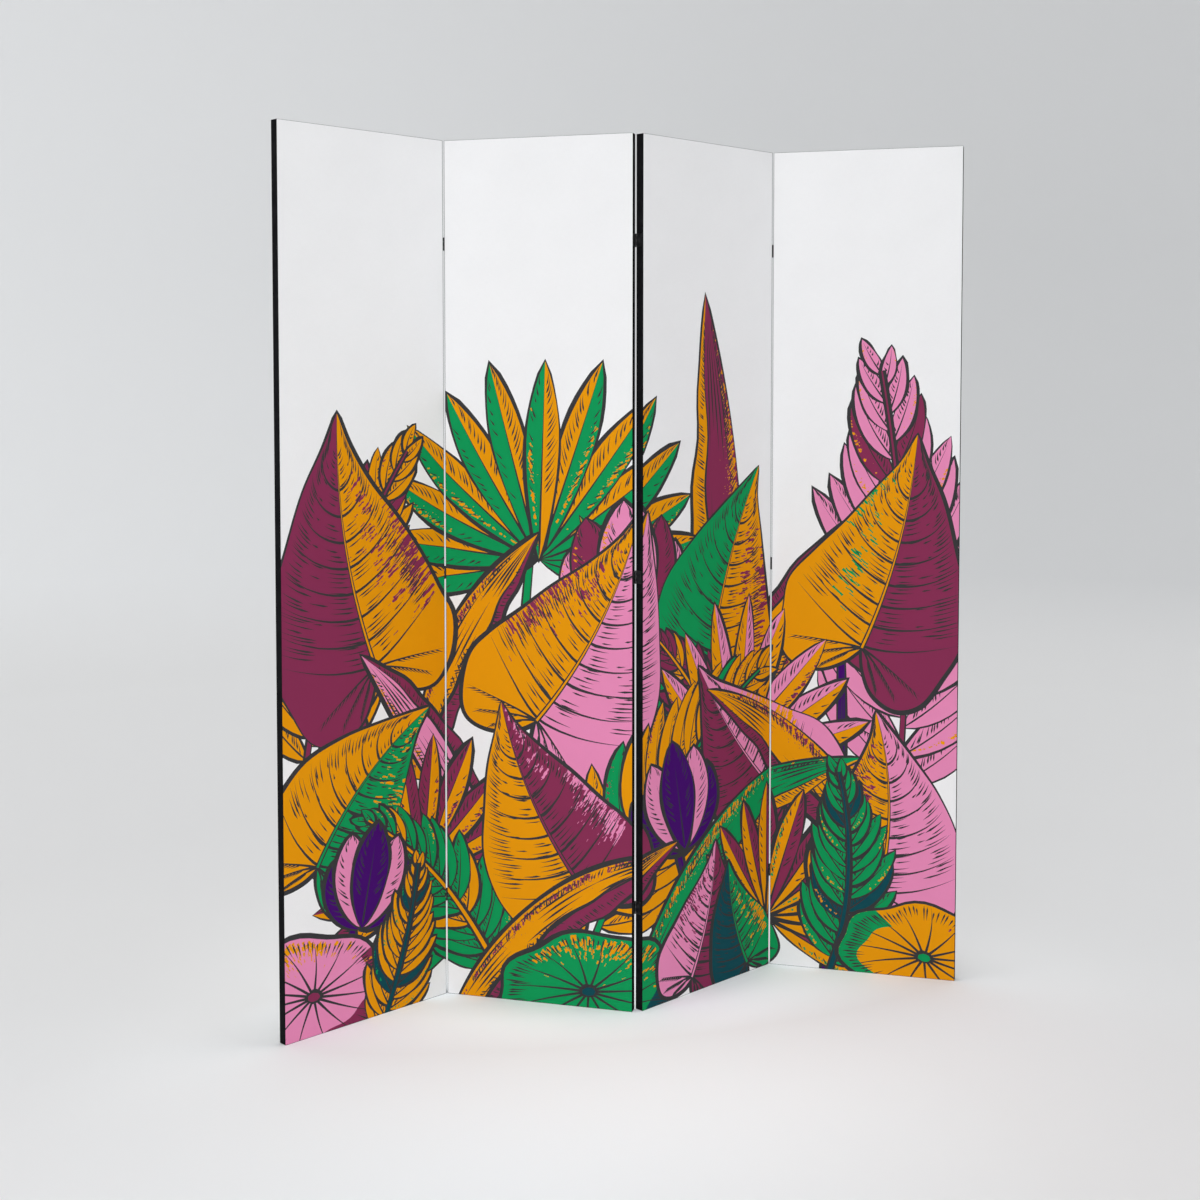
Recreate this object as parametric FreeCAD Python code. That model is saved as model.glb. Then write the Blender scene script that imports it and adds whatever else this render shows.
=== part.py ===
"""Four-panel folding room divider: canvas-covered pine frames joined edge to edge by small butt hinges.

Each panel is a pine frame with a printed canvas on its front, a plain canvas on its back and a black tape
round its edge. Three small hinges join each pair of panels. The outer two folds close on the front faces
and the middle fold closes on the back faces, so the screen stands as a zigzag and folds into a flat stack.

The screen stands on the XY plane with +Z up and its front towards -Y. Its middle fold is at X = 0.
"""

import FreeCAD, Part

import math
import os

# The sizes are in millimetres and the angles in degrees.

# The panels
PANEL_COUNT = 4
PANEL_WIDTH = 360.0
PANEL_HEIGHT = 1600.0
REST_FOLD = 60.0  # how far each fold is closed from flat as the screen stands

# The pine bars of a frame, and their mortise and tenon joints
BAR_DEPTH = 16.0
STILE_WIDTH = 30.0
RAIL_HEIGHT = 30.0
CROSS_RAIL_HEIGHT = 28.0
TENON_LENGTH = 20.0
TENON_THICKNESS = 5.4
TENON_SHOULDER = 6.0  # from a rail's edge to its tenon
JOINT_CLEARANCE = 0.15

# The cloth
CANVAS_THICKNESS = 0.5
CANVAS_WRAP = 8.2  # how far each canvas turns over the panel's edge, from its own face
TAPE_THICKNESS = 0.3

# The staples that hold the canvases' edges to the frame, under the tape
STAPLE_CROWN = 10.0
STAPLE_LEG = 6.0
STAPLE_WIRE = 0.5
STAPLE_SPACING = 110.0

# The hinges
HINGE_HEIGHT = 24.0
HINGE_END_DISTANCE = 190.0  # from a panel's end to the middle of its outer hinges
LEAF_THICKNESS = 0.6
LEAF_WIDTH = 13.5  # from the pin's axis to the leaf's free edge
LEAF_CORNER_RADIUS = 1.5
KNUCKLE_COUNT = 5
KNUCKLE_CLEARANCE = 0.1
NOTCH_CLEARANCE = 0.3
PIN_RADIUS = 0.6
PIN_CLEARANCE = 0.03
PIN_END = 0.3  # how far a pin stands out of its end knuckles
PIN_STANDOFF = 0.5  # from the panel's face to the pin's axis
EDGE_CLEARANCE = 0.08  # from the barrel to the panel's edge, seen along the face

# The hinge screws
SCREW_SPACING = 14.0
SCREW_SETBACK = 7.2  # from the pin's axis
SCREW_SHANK_RADIUS = 1.0
SCREW_HEAD_RADIUS = 1.9
SCREW_LENGTH = 14.0
SCREW_POINT = 2.4
SCREW_CLEARANCE = 0.05
DRIVE_WIDTH = 0.5
DRIVE_SPAN = 2.2
DRIVE_DEPTH = 0.45

OVERRUN = 1.0  # how far a cutting solid reaches past what it cuts

# Sizes that follow from the ones above
PANEL_DEPTH = BAR_DEPTH + 2 * CANVAS_THICKNESS
FRAME_INSET = TAPE_THICKNESS + CANVAS_THICKNESS  # from the panel's edge to its frame
BARREL_RADIUS = PIN_RADIUS + PIN_CLEARANCE + LEAF_THICKNESS
PANEL_GAP = 2 * (BARREL_RADIUS + EDGE_CLEARANCE)  # between two panels' edges when the screen is flat
HEAD_DEPTH = SCREW_HEAD_RADIUS - SCREW_SHANK_RADIUS  # a 90 degree countersink

LEFT, RIGHT = -1, 1
FRONT, BACK = -1, 1
SIDE_NAMES = {LEFT: "left", RIGHT: "right"}
HINGE_LEVELS = (HINGE_END_DISTANCE, PANEL_HEIGHT / 2, PANEL_HEIGHT - HINGE_END_DISTANCE)
# Each fold joins a panel to the next one on its right, with its pins past the front or the back faces.
FOLD_FACES = {(1, 2): FRONT, (2, 3): BACK, (3, 4): FRONT}
DRILLED = ("left_stile", "right_stile", "front_canvas", "back_canvas", "edge_tape")  # for the hinge screws
UP = FreeCAD.Vector(0, 0, 1)


def box(low, high):
    """The box between two opposite corners, given in any order."""
    near = [min(a, b) for a, b in zip(low, high)]
    size = [abs(a - b) for a, b in zip(low, high)]
    return Part.makeBox(*size, FreeCAD.Vector(*near))


def cut_all(shape, cutters):
    """The shape less every cutter."""
    return shape.cut(Part.makeCompound(cutters)) if cutters else shape


# A panel's own frame has x along its width from the left edge, y from its front face to its back, and z up.


def rail(bottom, height, slots):
    """A rail between the stiles, from its bottom edge, with a tenon at each end."""
    left = FRAME_INSET + STILE_WIDTH
    body = box(
        (left, CANVAS_THICKNESS, bottom),
        (PANEL_WIDTH - left, CANVAS_THICKNESS + BAR_DEPTH, bottom + height),
    )
    return cut_all(body.fuse(tenons(bottom, height, 0)).removeSplitter(), slots)


def tenons(bottom, height, clearance):
    """A rail's two tenons, grown by a clearance on every side but the shoulder."""
    left = FRAME_INSET + STILE_WIDTH
    middle = PANEL_DEPTH / 2
    half = TENON_THICKNESS / 2 + clearance
    low = bottom + TENON_SHOULDER - clearance
    high = bottom + height - TENON_SHOULDER + clearance
    pair = []
    for shoulder, outwards in ((left, LEFT), (PANEL_WIDTH - left, RIGHT)):
        tip = shoulder + outwards * (TENON_LENGTH + clearance)
        pair.append(box((shoulder, middle - half, low), (tip, middle + half, high)))
    return pair


def rail_places():
    """The bottom edge and height of each rail, by name. The cross rails are at the thirds of the frame."""
    frame_height = PANEL_HEIGHT - 2 * FRAME_INSET
    places = {
        "bottom_rail": (FRAME_INSET, RAIL_HEIGHT),
        "top_rail": (PANEL_HEIGHT - FRAME_INSET - RAIL_HEIGHT, RAIL_HEIGHT),
    }
    for name, third in (("lower_cross_rail", 1), ("upper_cross_rail", 2)):
        middle = FRAME_INSET + frame_height * third / 3
        places[name] = (middle - CROSS_RAIL_HEIGHT / 2, CROSS_RAIL_HEIGHT)
    return places


def stile(side, slots):
    """A full-height bar at a panel's left or right edge, with the rails' mortises and its staples' slots."""
    start = FRAME_INSET if side == LEFT else PANEL_WIDTH - FRAME_INSET - STILE_WIDTH
    bar = box(
        (start, CANVAS_THICKNESS, FRAME_INSET),
        (start + STILE_WIDTH, CANVAS_THICKNESS + BAR_DEPTH, PANEL_HEIGHT - FRAME_INSET),
    )
    mortises = [t for place in rail_places().values() for t in tenons(*place, JOINT_CLEARANCE)]
    return cut_all(bar, mortises + slots)


def canvas(face, slots):
    """The canvas on a panel's front or back face, with its edges turned over the frame."""
    outer = 0 if face == FRONT else PANEL_DEPTH
    inner = outer - face * CANVAS_THICKNESS
    hem = outer - face * CANVAS_WRAP
    low, high = TAPE_THICKNESS, FRAME_INSET
    sheet = box((low, outer, low), (PANEL_WIDTH - low, hem, PANEL_HEIGHT - low))
    hollow = box((high, inner, high), (PANEL_WIDTH - high, hem - face * OVERRUN, PANEL_HEIGHT - high))
    return cut_all(sheet, [hollow] + slots)


def staple(point, along, into):
    """A staple with its crown's middle at a point on the canvas, and its legs driven into the bar."""
    crown = along * (STAPLE_CROWN / 2)
    inner = along * (STAPLE_CROWN / 2 - STAPLE_WIRE)
    under = into * STAPLE_WIRE
    leg = into * STAPLE_LEG
    outside = [-crown + leg, -crown, crown, crown + leg]
    inside = [inner + leg, inner + under, -inner + under, -inner + leg]
    start = point - FreeCAD.Vector(0, STAPLE_WIRE / 2, 0)
    outline = Part.makePolygon([start + corner for corner in outside + inside + outside[:1]])
    return Part.Face(outline).extrude(FreeCAD.Vector(0, STAPLE_WIRE, 0))


def edge_staples(length, start, along, into, face):
    """The row of staples along one edge of a panel, through the hem of the front or the back canvas."""
    y = CANVAS_WRAP / 2 if face == FRONT else PANEL_DEPTH - CANVAS_WRAP / 2
    count = round(length / STAPLE_SPACING)
    row = []
    for number in range(count):
        point = start + into * TAPE_THICKNESS + along * (length * (number + 1 / 2) / count)
        row.append(staple(point + FreeCAD.Vector(0, y, 0), along, into))
    return row


def staples():
    """A panel's staples, by the edge and the face that they are on."""
    across, up = FreeCAD.Vector(1, 0, 0), UP
    edges = {
        "left": (PANEL_HEIGHT, FreeCAD.Vector(0, 0, 0), up, across),
        "right": (PANEL_HEIGHT, across * PANEL_WIDTH, up, -across),
        "bottom": (PANEL_WIDTH, FreeCAD.Vector(0, 0, 0), across, up),
        "top": (PANEL_WIDTH, up * PANEL_HEIGHT, across, -up),
    }
    return {(edge, face): edge_staples(*edges[edge], face) for edge in edges for face in (FRONT, BACK)}


def edge_tape():
    """The black tape round a panel's four edges, as deep as the panel."""
    band = box((0, 0, 0), (PANEL_WIDTH, PANEL_DEPTH, PANEL_HEIGHT))
    inside = box(
        (TAPE_THICKNESS, -OVERRUN, TAPE_THICKNESS),
        (PANEL_WIDTH - TAPE_THICKNESS, PANEL_DEPTH + OVERRUN, PANEL_HEIGHT - TAPE_THICKNESS),
    )
    return band.cut(inside)


# A hinge's own frame has the pin's axis on z and its middle at z = 0. With the screen flat, the left panel's
# edge is at x = -PANEL_GAP / 2 and the right panel's at x = PANEL_GAP / 2. The leaves run along those edges,
# from the face that the fold closes on.


def knuckle_spans(side):
    """The lowest and highest z of each knuckle on a side's leaf. The left leaf has the end knuckles."""
    pitch = HINGE_HEIGHT / KNUCKLE_COUNT
    first = 0 if side == LEFT else 1
    spans = []
    for number in range(first, KNUCKLE_COUNT, 2):
        low = -HINGE_HEIGHT / 2 + number * pitch
        spans.append((low, low + pitch))
    return spans


def leaf(side, face):
    """The leaf on one side of a hinge, with its knuckles, for a fold that closes on the given face."""
    deep = -face  # the way along y from the pin into the panel's thickness
    outer = side * PANEL_GAP / 2
    inner = outer - side * LEAF_THICKNESS
    half = HINGE_HEIGHT / 2
    plate = box((outer, 0, -half), (inner, deep * LEAF_WIDTH, half))
    free_corners = [
        edge
        for edge in plate.Edges
        if edge.Length < LEAF_THICKNESS * 2 and abs(edge.CenterOfMass.y - deep * LEAF_WIDTH) < LEAF_THICKNESS
    ]
    plate = plate.makeFillet(LEAF_CORNER_RADIUS, free_corners)
    notches = [
        box(
            (outer + side * OVERRUN, -deep * OVERRUN, low - KNUCKLE_CLEARANCE),
            (inner - side * OVERRUN, deep * (BARREL_RADIUS + NOTCH_CLEARANCE), high + KNUCKLE_CLEARANCE),
        )
        for low, high in knuckle_spans(-side)
    ]
    barrels = [
        Part.makeCylinder(BARREL_RADIUS, high - low, FreeCAD.Vector(0, 0, low), UP)
        for low, high in knuckle_spans(side)
    ]
    start = FreeCAD.Vector(0, 0, -half - OVERRUN)
    bore = Part.makeCylinder(PIN_RADIUS + PIN_CLEARANCE, HINGE_HEIGHT + 2 * OVERRUN, start, UP)
    holes = [screw_hole(side, face, z) for z in screw_heights()]
    rolled = cut_all(plate, notches).fuse(barrels).removeSplitter()
    return cut_all(rolled, [bore] + holes)


def hinge_pin():
    """The pin through a hinge's knuckles."""
    length = HINGE_HEIGHT + 2 * PIN_END
    pin = Part.makeCylinder(PIN_RADIUS, length, FreeCAD.Vector(0, 0, -length / 2), UP)
    return pin.makeChamfer(PIN_END / 2, [e for e in pin.Edges if len(e.Vertexes) == 1])


def screw_heights():
    """The heights of a leaf's two screws about the hinge's middle."""
    return (-SCREW_SPACING / 2, SCREW_SPACING / 2)


def screw_blank(side, face, z, clearance):
    """A countersunk screw with its point, grown by a clearance. Its head is flush with the leaf."""
    start = FreeCAD.Vector(side * (PANEL_GAP / 2 - LEAF_THICKNESS), -face * SCREW_SETBACK, z)
    into = FreeCAD.Vector(side, 0, 0)
    shank = SCREW_SHANK_RADIUS + clearance
    head = Part.makeCone(SCREW_HEAD_RADIUS + clearance, shank, HEAD_DEPTH, start, into)
    straight = SCREW_LENGTH - HEAD_DEPTH - SCREW_POINT
    body = Part.makeCylinder(shank, straight, start + into * HEAD_DEPTH, into)
    neck = start + into * (HEAD_DEPTH + straight)
    point = Part.makeCone(shank, clearance, SCREW_POINT + clearance, neck, into)
    return head.fuse([body, point]).removeSplitter()


def screw(side, face, z):
    """A hinge screw with a cross-shaped drive cut in its head."""
    open_face = side * (PANEL_GAP / 2 - LEAF_THICKNESS)
    y = -face * SCREW_SETBACK
    near, far = open_face - side * OVERRUN, open_face + side * DRIVE_DEPTH
    narrow, wide = DRIVE_WIDTH / 2, DRIVE_SPAN / 2
    cross = [
        box((near, y - narrow, z - wide), (far, y + narrow, z + wide)),
        box((near, y - wide, z - narrow), (far, y + wide, z + narrow)),
    ]
    return cut_all(screw_blank(side, face, z, 0), cross)


def screw_hole(side, face, z):
    """What a screw's hole takes out of the leaf, the tape, the canvas and the stile."""
    start = FreeCAD.Vector(side * (PANEL_GAP / 2 - LEAF_THICKNESS - OVERRUN), -face * SCREW_SETBACK, z)
    mouth = Part.makeCylinder(SCREW_HEAD_RADIUS + SCREW_CLEARANCE, OVERRUN, start, FreeCAD.Vector(side, 0, 0))
    return screw_blank(side, face, z, SCREW_CLEARANCE).fuse(mouth)


def panel_edge_folds(panel):
    """A panel's folds, as the side of the fold that the panel is on and the face that the fold closes on."""
    return [
        (LEFT if panel == pair[0] else RIGHT, face)
        for pair, face in FOLD_FACES.items()
        if panel in pair
    ]


def hinge_origin(side, face, z):
    """A hinge's origin in the frame of the panel on that side of it."""
    x = PANEL_WIDTH + PANEL_GAP / 2 if side == LEFT else -PANEL_GAP / 2
    y = -PIN_STANDOFF if face == FRONT else PANEL_DEPTH + PIN_STANDOFF
    return FreeCAD.Vector(x, y, z)


def at_hinges(side, face, shape):
    """A copy of a hinge piece, or of its hole, at each hinge on one edge of a panel."""
    return [shape.translated(hinge_origin(side, face, level)) for level in HINGE_LEVELS]


def panel_screws(panel, make):
    """Every hinge screw of a panel, or every screw hole, in the panel's own frame."""
    return [
        placed_screw
        for side, face in panel_edge_folds(panel)
        for z in screw_heights()
        for placed_screw in at_hinges(side, face, make(side, face, z))
    ]


def panel_placements():
    """Where each panel's own frame lies as the screen stands, by panel number."""
    half = REST_FOLD / 2
    turns = {1: half, 2: -half, 3: half, 4: -half}
    spins = {n: FreeCAD.Rotation(UP, turn) for n, turn in turns.items()}
    depth = PANEL_WIDTH * math.sin(math.radians(half)) + PANEL_DEPTH * math.cos(math.radians(half))
    origins = {3: FreeCAD.Vector(0, 0, 0)}
    for known, pair in ((3, (3, 4)), (3, (2, 3)), (2, (1, 2))):
        other = pair[0] if known == pair[1] else pair[1]
        pins = {n: hinge_origin(LEFT if n == pair[0] else RIGHT, FOLD_FACES[pair], 0) for n in pair}
        axis = origins[known] + spins[known].multVec(pins[known])
        origins[other] = axis - spins[other].multVec(pins[other])
    middle_axis = origins[3] + spins[3].multVec(hinge_origin(RIGHT, FOLD_FACES[(2, 3)], 0))
    centre = FreeCAD.Vector(middle_axis.x, origins[3].y + depth / 2, 0)
    return {n: FreeCAD.Placement(origin - centre, spins[n]) for n, origin in origins.items()}


def placed(shape, placement):
    """A copy of the shape, carried from its panel's own frame to where it stands."""
    copy = shape.copy()
    copy.Placement = placement.multiply(copy.Placement)
    return copy


def plain_pieces():
    """The pieces that every panel has alike, by name, in the panel's own frame and with no hinge screws."""
    rows = staples()
    on_edge = {edge: rows[edge, FRONT] + rows[edge, BACK] for edge, face in rows}
    on_face = {FRONT: [], BACK: []}
    for (edge, face), row in rows.items():
        on_face[face] += row
    pieces = {
        "left_stile": stile(LEFT, on_edge["left"]),
        "right_stile": stile(RIGHT, on_edge["right"]),
        "front_canvas": canvas(FRONT, on_face[FRONT]),
        "back_canvas": canvas(BACK, on_face[BACK]),
        "edge_tape": edge_tape(),
        "staples": Part.makeCompound(on_face[FRONT] + on_face[BACK]),
    }
    for name, (bottom, height) in rail_places().items():
        pieces[name] = rail(bottom, height, on_edge.get(name.removesuffix("_rail"), []))
    return pieces


def build():
    """Every sub-part where it stands, by node name."""
    nodes = {}
    plain = plain_pieces()
    placements = panel_placements()
    for panel in range(1, PANEL_COUNT + 1):
        holes = panel_screws(panel, screw_hole)
        pieces = {name: cut_all(plain[name], holes) for name in DRILLED}
        pieces["hinge_screws"] = Part.makeCompound(panel_screws(panel, screw))
        for name, shape in (plain | pieces).items():
            nodes[f"panel_{panel}_{name}"] = placed(shape, placements[panel])
    for pair, face in FOLD_FACES.items():
        hinges = f"hinges_{pair[0]}_{pair[1]}"
        for panel, side in zip(pair, (LEFT, RIGHT)):
            leaves = Part.makeCompound(at_hinges(side, face, leaf(side, face)))
            nodes[f"{hinges}_{SIDE_NAMES[side]}_leaves"] = placed(leaves, placements[panel])
        pins = Part.makeCompound(at_hinges(LEFT, face, hinge_pin()))
        nodes[f"{hinges}_pins"] = placed(pins, placements[pair[0]])
    return nodes


def main():
    os.makedirs("parts", exist_ok=True)
    for name, shape in build().items():
        shape.exportStep(f"parts/{name}.step")


main()
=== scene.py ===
"""Blender dress of the four-panel room divider: printed and plain canvas, black tape and small black hinges.

Sizes are in metres and angles in degrees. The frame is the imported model's: +Z up, the screen's front to -Y.
"""

import math
import random
from itertools import chain

import bpy
import numpy as np
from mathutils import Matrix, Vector
from mathutils.geometry import delaunay_2d_cdt


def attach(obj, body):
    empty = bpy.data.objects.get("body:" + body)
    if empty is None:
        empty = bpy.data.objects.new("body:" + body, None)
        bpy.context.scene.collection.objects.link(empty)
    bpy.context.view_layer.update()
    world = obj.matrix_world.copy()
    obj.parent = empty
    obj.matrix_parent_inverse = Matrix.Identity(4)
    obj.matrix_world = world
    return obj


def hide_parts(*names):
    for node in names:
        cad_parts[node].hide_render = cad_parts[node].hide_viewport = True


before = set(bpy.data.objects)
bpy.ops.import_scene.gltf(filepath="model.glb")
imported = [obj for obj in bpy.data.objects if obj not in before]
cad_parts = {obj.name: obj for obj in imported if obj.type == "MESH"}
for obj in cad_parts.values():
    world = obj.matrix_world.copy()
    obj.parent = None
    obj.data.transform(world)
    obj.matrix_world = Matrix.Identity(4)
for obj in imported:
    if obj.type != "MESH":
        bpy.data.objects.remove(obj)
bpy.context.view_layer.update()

MM = 0.001
FRONT, BACK = 1, -1

# The panels, as in the part's source
PANELS = (1, 2, 3, 4)
PANEL_WIDTH = 0.360
PANEL_HEIGHT = 1.600
PANEL_DEPTH = 17 * MM
PANEL_GAP = 2.62 * MM
PANEL_TURNS = {1: 30.0, 2: -30.0, 3: 30.0, 4: -30.0}
PANEL_CORNERS = {
    1: (-0.6361918, -0.0973612),
    2: (-0.3216536, 0.0826388),
    3: (0.0098845, -0.0973612),
    4: (0.3244226, 0.0826388),
}

# The cloth
CANVAS_THICKNESS = 0.5 * MM
CANVAS_WRAP = 8.2 * MM
CANVAS_FOLD_RADIUS = 0.7 * MM
TAPE_THICKNESS = 0.3 * MM
TAPE_CORNER_RADIUS = 0.9 * MM
TAPE_EDGE_RADIUS = 0.1 * MM

# The flat of a canvas, between its folds, and how near points go onto its rim and join there
FACE_MIDDLE = np.array([PANEL_WIDTH, PANEL_HEIGHT]) / 2
FACE_HALF = FACE_MIDDLE - TAPE_THICKNESS - CANVAS_FOLD_RADIUS
FACE_LOW, FACE_HIGH = FACE_MIDDLE - FACE_HALF, FACE_MIDDLE + FACE_HALF
RIM_SNAP = 0.002 * MM
RIM_JOIN = 0.005 * MM

# The bars behind the cloth, which show faintly in it
STILE_END = 30.8 * MM
RAIL_SPANS = ((0.0008, 0.0308), (0.5196, 0.5476), (1.0524, 1.0804), (1.5692, 1.5992))
FRONT_SLACK = 0.2 * MM
BACK_SLACK = 0.4 * MM

# The camera
CAMERA_PLACE = (-0.8144, -2.9934, 1.1448)
CAMERA_YAW = 14.4062
CAMERA_PITCH = 2.885
CAMERA_SHIFT = -0.107
CAMERA_LENS = 50
CAMERA_SENSOR = 36

# The inks of the print, as sRGB bytes
PAPER = (243, 243, 244)
INKS = {
    "paper": PAPER,
    "line": (58, 58, 60),
    "ochre": (231, 152, 8),
    "pink": (231, 140, 184),
    "maroon": (134, 48, 84),
    "green": (14, 150, 86),
    "purple": (68, 12, 108),
    "teal": (16, 74, 84),
}

# The studio, its floor a hair under the part
FLOOR_RADIUS = 3.75
WALL_CURVE = 1.9
FLOOR_DROP = 0.05 * MM

# The light: the strength of the air, and each lamp's place, width and power
AIR = 0.6
LAMPS = {
    "near_left": ((-2.3, -2.9, 1.9), 1.6, 9.5),
    "low_left": ((-1.7, -3.3, 0.8), 1.4, 27),
    "right": ((3.4, -3.4, 4.4), 3.2, 10),
    "top": ((0.0, 0.0, 5.6), 4.0, 96),
}
# Painted light on the floor: paler places that stand in for pools of light, each with where it starts and
# stops
# to fade: under the screen, where x is drawn in to make it long, then in front, and far off
PAINTED_POOL_UNDER_STRETCH = (0.35, 1.0, 1.0)
PAINTED_POOL_UNDER_PLACE = (-0.01, 0.02, 0.0)
PAINTED_POOL_UNDER_REACH = (0.12, 0.25)
PAINTED_POOL_FRONT_PLACE = (-0.4, -0.7, 0.0)
PAINTED_POOL_FRONT_REACH = (0.1, 0.85)
PAINTED_LIGHT_FAR_REACH = (1.6, 3.6)
# The spot lamp over the screen: its place, cone, width and power
POOL_LAMP = ((0.0, -0.03, 5.5), 20.5, 0.3, 320)


def linear(rgb):
    """A linear colour with alpha from sRGB bytes."""
    shares = [c / 255 for c in rgb]
    return [c / 12.92 if c <= 0.04045 else ((c + 0.055) / 1.055) ** 2.4 for c in shares] + [1.0]


class Finish:
    """A Principled material, with short calls for its nodes."""

    def __init__(self, name, **values):
        self.material = bpy.data.materials.new(name)
        self.material.use_nodes = True
        self.tree = self.material.node_tree
        self.shader = self.tree.nodes["Principled BSDF"]
        self.dress(**values)

    def add(self, kind, inputs=None, **settings):
        """A node with its settings, and its inputs linked to sockets or set to values."""
        node = self.tree.nodes.new("ShaderNode" + kind)
        for name, value in settings.items():
            setattr(node, name, value)
        for key, value in (inputs or {}).items():
            self.feed(node.inputs[key], value)
        return node

    def feed(self, socket, value):
        if isinstance(value, bpy.types.NodeSocket):
            self.tree.links.new(value, socket)
        else:
            socket.default_value = value

    def math(self, operation, a, b=0.0):
        return self.add("Math", {0: a, 1: b}, operation=operation).outputs[0]

    def vector(self, operation, inputs, output="Vector"):
        return self.add("VectorMath", inputs, operation=operation).outputs[output]

    def noise(self, vector, scale, detail=3.0):
        inputs = {"Vector": vector, "Scale": scale, "Detail": detail, "Roughness": 0.55}
        return self.add("TexNoise", inputs).outputs["Fac"]

    def scaled(self, vector, scale, turn=0.0):
        inputs = {"Vector": vector, "Scale": scale, "Rotation": (0, 0, math.radians(turn))}
        return self.add("Mapping", inputs).outputs["Vector"]

    def ranged(self, value, low, high, start=0.0, stop=1.0):
        inputs = {"Value": value, "From Min": start, "From Max": stop, "To Min": low, "To Max": high}
        return self.add("MapRange", inputs).outputs["Result"]

    def mixed(self, share, a, b):
        node = self.add("Mix", {"Factor": share}, data_type="RGBA")
        for socket, colour in zip([s for s in node.inputs if s.type == "RGBA"], (a, b)):
            self.feed(socket, colour)
        return next(s for s in node.outputs if s.type == "RGBA")

    def dress(self, **outputs):
        """Links sockets to the shader's own, or sets its values."""
        for socket, value in outputs.items():
            self.feed(self.shader.inputs[socket.replace("_", " ")], value)

    def bump(self, height, distance, strength=1.0):
        inputs = {"Height": height, "Distance": distance, "Strength": strength}
        self.dress(Normal=self.add("Bump", inputs).outputs["Normal"])


def plain_weave(finish, cloth, pitch):
    """The height, from 0 to 1, of a plain weave over the cloth's own metres."""
    parts = finish.add("SeparateXYZ", {0: cloth}).outputs
    across, along = (
        finish.math("SINE", finish.math("MULTIPLY", parts[axis], math.pi / pitch)) for axis in (0, 1)
    )
    both = finish.math("MULTIPLY", across, along)
    warp = finish.math("ADD", finish.math("ABSOLUTE", across), both)
    weft = finish.math("SUBTRACT", finish.math("ABSOLUTE", along), both)
    return finish.math("MULTIPLY", finish.math("MAXIMUM", warp, weft), 0.5)


def canvas_cloth(name, rgb, hollow_shade, pitch=0.55 * MM):
    """Woven canvas in one colour. The hollows of the weave are painted a little in a second, darker colour,
    as painted shade.
    """
    finish = Finish(name, Specular_IOR_Level=0.06)
    cloth = finish.add("UVMap", uv_map="cloth").outputs["UV"]
    weave = plain_weave(finish, cloth, pitch)
    slubs = finish.noise(finish.scaled(cloth, (90, 1400, 1)), 1.0, 2.0)
    picks = finish.noise(finish.scaled(cloth, (1400, 90, 1)), 1.0, 2.0)
    threads = finish.math("ADD", slubs, picks)
    cloudy = finish.noise(cloth, 9.0, 4.0)
    shade = finish.ranged(finish.math("ADD", cloudy, threads), 0.955, 1.02, 0.9, 2.1)
    # Painted shade: the hollows of the weave take a little of the darker colour.
    full = finish.mixed(finish.ranged(weave, 0.07, 0.0), linear(rgb), linear(hollow_shade))
    toned = finish.vector("SCALE", {0: full, 3: shade})
    finish.dress(Base_Color=toned, Roughness=finish.ranged(threads, 0.62, 0.86, 0.6, 1.4))
    height = finish.math("ADD", weave, finish.math("MULTIPLY", threads, 0.5))
    finish.bump(height, 0.05 * MM, 0.55)
    return finish.material


def black_tape():
    """Fine black woven tape, a little dusty along its threads."""
    finish = Finish("black_woven_tape", Specular_IOR_Level=0.0)
    cloth = finish.add("UVMap", uv_map="cloth").outputs["UV"]
    weave = plain_weave(finish, cloth, 0.4 * MM)
    threads = finish.noise(finish.scaled(cloth, (60, 1800, 1)), 1.0, 3.0)
    dust = finish.noise(cloth, 30.0, 5.0)
    worn = finish.ranged(finish.math("MULTIPLY", dust, threads), 0.0, 1.0, 0.2, 0.5)
    finish.dress(
        Base_Color=finish.mixed(worn, linear((25, 25, 27)), linear((37, 37, 39))),
        Roughness=finish.ranged(weave, 0.78, 0.56),
    )
    finish.bump(finish.math("ADD", weave, threads), 0.04 * MM, 0.6)
    return finish.material


def pine(name, turn, upright):
    """Planed pine with its grain up the bar, or along a bar of a panel turned by an angle."""
    finish = Finish(name, Specular_IOR_Level=0.3)
    place = finish.add("TexCoord").outputs["Object"]
    stretch = (55, 55, 2.2) if upright else (2.2, 55, 55)
    grain = finish.scaled(finish.scaled(place, (1, 1, 1), -turn), stretch)
    rings = finish.add(
        "TexWave",
        {"Vector": grain, "Scale": 1.1, "Distortion": 5.0, "Detail": 3.0, "Detail Scale": 1.3},
        bands_direction="Y",
    ).outputs["Fac"]
    fibres = finish.noise(finish.scaled(grain, (6, 6, 6)), 1.5, 6.0)
    dark = finish.math("MULTIPLY", rings, finish.ranged(fibres, 0.5, 1.0))
    finish.dress(
        Base_Color=finish.mixed(dark, linear((226, 196, 148)), linear((190, 142, 88))),
        Roughness=finish.ranged(fibres, 0.55, 0.75),
    )
    finish.bump(finish.math("ADD", fibres, dark), 0.1 * MM, 0.4)
    return finish.material


def metal(name, dark, light, shine, metallic):
    """Coated or bare metal with fine scuffs. shine is its lowest and highest roughness."""
    finish = Finish(name, Metallic=metallic, Specular_IOR_Level=0.5)
    place = finish.add("TexCoord").outputs["Object"]
    scuffs = finish.noise(finish.scaled(place, (1, 1, 0.25)), 900.0, 4.0)
    patches = finish.noise(place, 100.0, 3.0)
    worn = finish.ranged(finish.math("MULTIPLY", scuffs, patches), 0.0, 1.0, 0.22, 0.4)
    finish.dress(
        Base_Color=finish.mixed(worn, linear(dark), linear(light)),
        Roughness=finish.ranged(patches, *shine, 0.3, 0.7),
    )
    finish.bump(scuffs, 0.02 * MM, 0.35)
    return finish.material


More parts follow.
